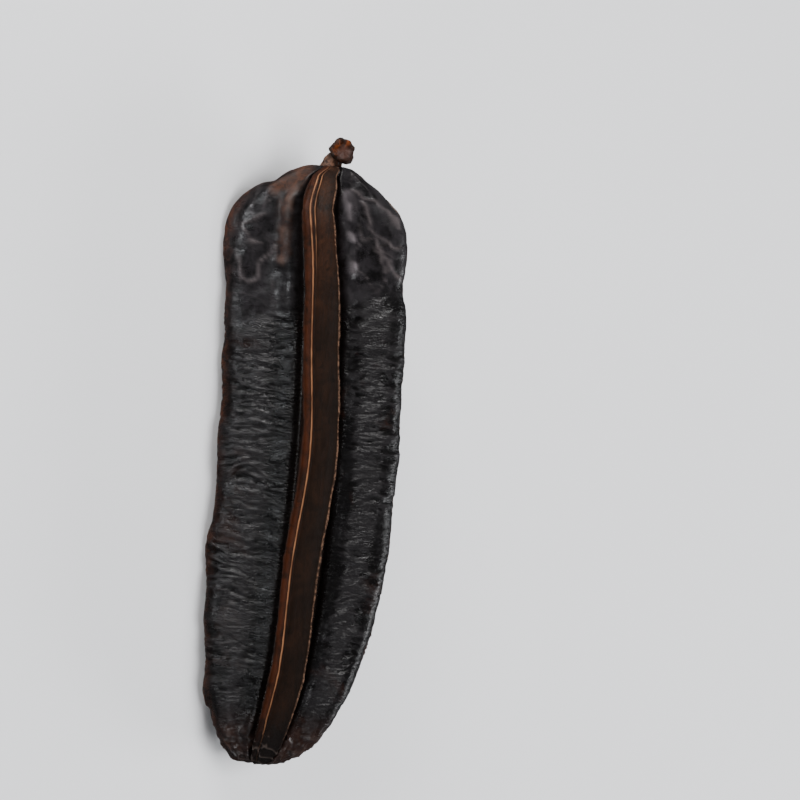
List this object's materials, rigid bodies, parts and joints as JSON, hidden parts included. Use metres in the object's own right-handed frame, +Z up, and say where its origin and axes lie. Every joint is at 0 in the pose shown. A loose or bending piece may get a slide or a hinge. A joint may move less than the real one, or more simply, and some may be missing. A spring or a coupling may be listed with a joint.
{
  "type": "aridan pod",
  "caption": "Dried seed pod with broad wrinkled fleshy wings, flat-edged woody wings and a short bent stalk, lying on its side.",
  "frame": {"origin": "centre of the bounding box in plan, on the ground that the pod lies on", "axes": "+Z up; X along the pod, with its stalk towards -X and its blunt end towards +X; -Y is the side from which its front band is seen"},
  "size_m": [0.1952, 0.0468, 0.0429],
  "materials": {
    "pod_skin": "satin"
  },
  "bodies": {
    "root": {"aridan_pod": "pod_skin"}
  },
  "joints": []
}
